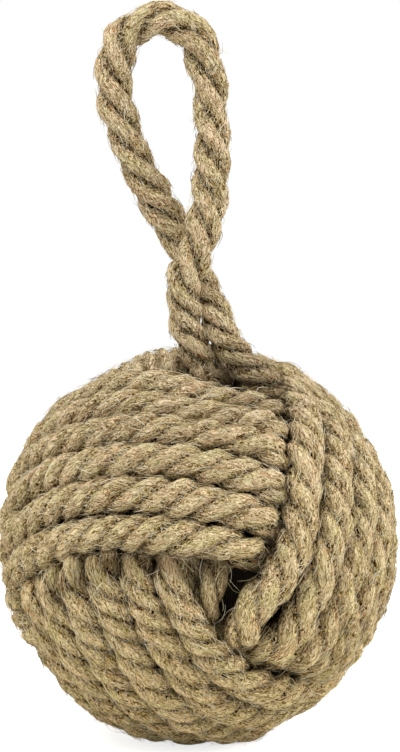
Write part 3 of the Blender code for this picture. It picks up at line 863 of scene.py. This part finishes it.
def juteMaterial():
    made, tree, shader = nodeMaterial("jute rope", 0.92, 0.05)
    laid = pointValue(tree, "laid", "Vector")
    crown, tone, facing, shade = (pointValue(tree, name) for name in ("crown", "tone", "facing", "shade"))
    wave = add(tree, "ShaderNodeTexNoise", Vector=laid, Scale=0.4, Detail=2.0)
    wavy = add(tree, "ShaderNodeVectorMath", operation="MULTIPLY_ADD")
    for socket, value in zip(wavy.inputs, (wave.outputs["Color"], (juteGrain["bend"],) * 3, laid)):
        feed(tree, socket, value)
    wavy = wavy.outputs[0]
    fine, finest, yarn, pits, rust = (streaks(tree, wavy, juteGrain[name])
                                      for name in ("fine", "finest", "yarn", "pits", "rust"))
    broken = calc(tree, "MULTIPLY", calc(tree, "SUBTRACT", pits, 0.5), juteGrain["ragged"])
    ragged = calc(tree, "ADD", crown, broken)
    level = calc(tree, "MULTIPLY", fine, juteGrain["fineShare"])
    for source, share in ((yarn, "yarnShare"), (finest, "finestShare"), (tone, "toneShare"),
                          (calc(tree, "SUBTRACT", ragged, 0.5), "crownShadeShare")):
        level = calc(tree, "ADD", level, calc(tree, "MULTIPLY", source, juteGrain[share]))
    body = [(0.438, juteLook["dark"]), (0.495, juteLook["tan"]), (0.556, juteLook["straw"])]
    redness = ramp(tree, rust, [(0.66, (0, 0, 0)), (0.71, (0.6, 0.6, 0.6))])
    colour = mixColour(tree, "MIX", redness, ramp(tree, level, body), juteLook["rust"])
    patch = streaks(tree, laid, juteGrain["patch"])
    warmth = [(0.34, (0.90, 0.95, 0.82)), (0.5, (1.0, 1.0, 1.0)), (0.66, (1.08, 1.0, 1.04))]
    colour = tinted(tree, colour, ramp(tree, patch, warmth))
    # painted light: a tint by height on the object, browner below and bluer above
    place = add(tree, "ShaderNodeSeparateXYZ", Vector=add(tree, "ShaderNodeTexCoord").outputs["Object"])
    height = add(tree, "ShaderNodeMapRange", Value=place.outputs["Z"], From_Min=juteLook["belowHeight"],
                 From_Max=juteLook["aboveHeight"])
    paintedLightTint = mixColour(tree, "MIX", height.outputs[0], juteLook["below"], juteLook["above"])
    colour = tinted(tree, colour, paintedLightTint)
    # painted shade: darker in the grooves between strands, a little darker beside them
    grooveShade = [(0.0, juteLook["grooveShade"]), (0.24, juteLook["bankShade"]), (0.52, (1, 1, 1))]
    colour = tinted(tree, colour, ramp(tree, ragged, grooveShade))
    # painted shade: darker on the rope's sides, where it lies pressed between other turns
    sides = calc(tree, "ADD", calc(tree, "ADD", facing, 0.15), broken)
    colour = tinted(tree, colour, ramp(tree, sides, [(0.08, juteLook["gap"]), (0.58, (1, 1, 1))]))
    # painted shade: dark spots in the pits among the fibres, a little more in the grooves
    depth = calc(tree, "ADD", pits, calc(tree, "MULTIPLY", crown, 0.06))
    colour = tinted(tree, colour, ramp(tree, depth, [(0.36, juteLook["pitShade"]), (0.45, (1, 1, 1))]))
    crossing = thinLines(tree, wavy, juteGrain["crossing"], 0.035)
    together = thinLines(tree, wavy, juteGrain["together"], 0.04)
    share = ramp(tree, ragged, [(0.15, (0.7, 0.7, 0.7)), (0.7, (0.3, 0.3, 0.3))])  # more of them in grooves
    lines = calc(tree, "MULTIPLY", calc(tree, "MAXIMUM", crossing, together), share)
    colour = mixColour(tree, "MIX", lines, colour, juteLook["hair"])
    colour = mixColour(tree, "MIX", shade, tinted(tree, colour, juteLook["deep"]), colour)
    feed(tree, shader.inputs["Base Color"], colour)
    height = calc(tree, "ADD", yarn, calc(tree, "MULTIPLY", fine, 0.8))
    height = calc(tree, "ADD", height, calc(tree, "MULTIPLY", lines, 0.12))
    bump = add(tree, "ShaderNodeBump", Strength=1.0, Distance=juteGrain["bump"], Height=height)
    feed(tree, shader.inputs["Normal"], bump.outputs[0])
    return made


# A fibre's colour by its own random number: about a quarter are dark
fibreLook = [(0.0, (0.07, 0.04, 0.01)), (0.24, (0.22, 0.14, 0.04)),
             (0.36, (0.70, 0.53, 0.26)), (1.0, (1.0, 0.92, 0.70))]


def fibreMaterial():
    made, tree, shader = nodeMaterial("jute fibre", 0.8, 0.1)
    colour = ramp(tree, pointValue(tree, "tone"), fibreLook)
    dark = tinted(tree, colour, juteLook["deep"])
    feed(tree, shader.inputs["Base Color"], mixColour(tree, "MIX", pointValue(tree, "shade"), dark, colour))
    return made


weaves = {
    # dark and light colour, pitch of the weave and roughness
    # the bag's canvas, coloured near black as painted shade where it shows in the hole
    "canvas darkened as shade": ((0.014, 0.010, 0.006), (0.06, 0.042, 0.024), 0.9 * mm, 0.95),
    "waxed twine": ((0.38, 0.32, 0.20), (0.72, 0.66, 0.52), 0.8 * mm, 0.6),
    "dry sand": ((0.25, 0.18, 0.10), (0.62, 0.50, 0.32), 0.9 * mm, 1.0),
}


def weaveMaterial(name):
    # Plain weave on object coordinates: two waves across each other, broken by fine noise. A wave
    # texture of scale 0.314 / pitch repeats once a pitch.
    dark, light, pitch, roughness = weaves[name]
    made, tree, shader = nodeMaterial(name, roughness)
    place = add(tree, "ShaderNodeTexCoord").outputs["Object"]
    wave, across = (add(tree, "ShaderNodeTexWave", bands_direction=direction, Vector=place,
                        Scale=0.314 / pitch, Distortion=1.5).outputs["Fac"] for direction in ("X", "Z"))
    noise = add(tree, "ShaderNodeTexNoise", Vector=place, Scale=900.0, Detail=3.0).outputs["Fac"]
    level = calc(tree, "ADD", calc(tree, "MULTIPLY", wave, across), noise)
    level = calc(tree, "MULTIPLY", level, 0.6)
    feed(tree, shader.inputs["Base Color"], ramp(tree, level, [(0.2, dark), (0.8, light)]))
    bump = add(tree, "ShaderNodeBump", Strength=0.7, Distance=0.4 * mm, Height=level)
    feed(tree, shader.inputs["Normal"], bump.outputs[0])
    return made


def dress(pieces, look):
    for piece in pieces:
        piece.data.materials.append(look)


ropesOnBall = [made[0] for made in ballRopes.values()] + tuckRopes
dress(ropesOnBall + [handleRope], juteMaterial())
dress(ballFibres + [handleFibres], fibreMaterial())
dress([clothBag], weaveMaterial("canvas darkened as shade"))
dress([twinePiece], weaveMaterial("waxed twine"))
dress([looseSand], weaveMaterial("dry sand"))
for piece in ropesOnBall + ballFibres + [clothBag, twinePiece, looseSand]:
    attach(piece, "ball")
for piece in (handleRope, handleFibres):
    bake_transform(piece)
print("pieces dressed, and riding on their bodies")


# Camera, floor and light

studio = {
    "distance": 675 * mm,
    "elevation": 5.0,  # degrees, as the next
    "tiltUp": 5.42,
    "focalPixels": 1767.0,
    "pictureHeight": 752,
    "sensor": 36,
    "toTheRight": 0.88 * mm,
    "skyLight": 0.77,
    "floorGlow": 0.75,
    "floorReach": 6.0,
    "floorColour": (0.85, 0.85, 0.85),
    # place and size in metres, and power
    "top softbox": ((-0.4, -0.4, 1.0), 0.8, 6.0),
    "right softbox": ((1.0, -0.1, 0.5), 0.8, 6.0),
}


def placeCamera():
    lens = bpy.data.cameras.new("camera")
    lens.sensor_width = studio["sensor"]
    lens.lens = studio["focalPixels"] / studio["pictureHeight"] * studio["sensor"]
    lens.clip_start, lens.clip_end = 0.01, 100
    camera = bpy.data.objects.new("camera", lens)
    low = math.radians(studio["elevation"])
    camera.location = (studio["toTheRight"], -studio["distance"] * math.cos(low),
                       middleHeight + studio["distance"] * math.sin(low))
    camera.rotation_euler = (math.pi / 2 - low + math.radians(studio["tiltUp"]), 0, 0)
    bpy.context.scene.collection.objects.link(camera)
    bpy.context.scene.camera = camera


def whiteToCamera(tree, seen, lit):
    # What the camera, a gloss or a see-through surface sees is one shader, what lights is another
    path = add(tree, "ShaderNodeLightPath").outputs
    either = calc(tree, "MAXIMUM", path["Is Camera Ray"], path["Is Glossy Ray"])
    either = calc(tree, "MAXIMUM", either, path["Is Transmission Ray"])
    mix = add(tree, "ShaderNodeMixShader", Fac=either)
    feed(tree, mix.inputs[1], lit)
    feed(tree, mix.inputs[2], seen)
    return mix.outputs[0]


def lightTheRoom():
    world = bpy.data.worlds.new("studio")
    bpy.context.scene.world = world
    world.use_nodes = True
    tree = world.node_tree
    sky = tree.nodes["Background"]
    feed(tree, sky.inputs["Color"], (1, 1, 1))
    feed(tree, sky.inputs["Strength"], studio["skyLight"])
    white = add(tree, "ShaderNodeBackground", Color=(1, 1, 1), Strength=1.0)
    room = whiteToCamera(tree, white.outputs[0], sky.outputs[0])
    feed(tree, tree.nodes["World Output"].inputs["Surface"], room)
    for name in ("top softbox", "right softbox"):
        place, size, power = studio[name]
        lamp = bpy.data.lights.new(name, "AREA")
        lamp.shape = "DISK"
        lamp.size = size
        lamp.energy = power
        holder = bpy.data.objects.new(name, lamp)
        holder.location = place
        aim = np.array(place) - ballMiddle
        holder.rotation_euler = (math.acos(aim[2] / np.linalg.norm(aim)), 0,
                                 math.atan2(aim[1], aim[0]) + math.pi / 2)
        bpy.context.scene.collection.objects.link(holder)


def layFloor():
    corners = studio["floorReach"] * np.array([(-1, -1, 0), (1, -1, 0), (1, 1, 0), (-1, 1, 0)])
    floor = meshOf("floor", corners, np.array([[0, 1, 2, 3]]), np.zeros((0, 3), int), {})
    made, tree, shader = nodeMaterial("pale floor", 0.9)
    feed(tree, shader.inputs["Base Color"], studio["floorColour"])
    glow = add(tree, "ShaderNodeEmission", Strength=studio["floorGlow"])
    both = add(tree, "ShaderNodeAddShader")
    feed(tree, both.inputs[0], shader.outputs[0])
    feed(tree, both.inputs[1], glow.outputs[0])
    surface = whiteToCamera(tree, both.outputs[0], shader.outputs[0])
    feed(tree, tree.nodes["Material Output"].inputs["Surface"], surface)
    floor.data.materials.append(made)


placeCamera()
lightTheRoom()
layFloor()
bpy.context.scene.view_settings.view_transform = "Standard"

print("done")
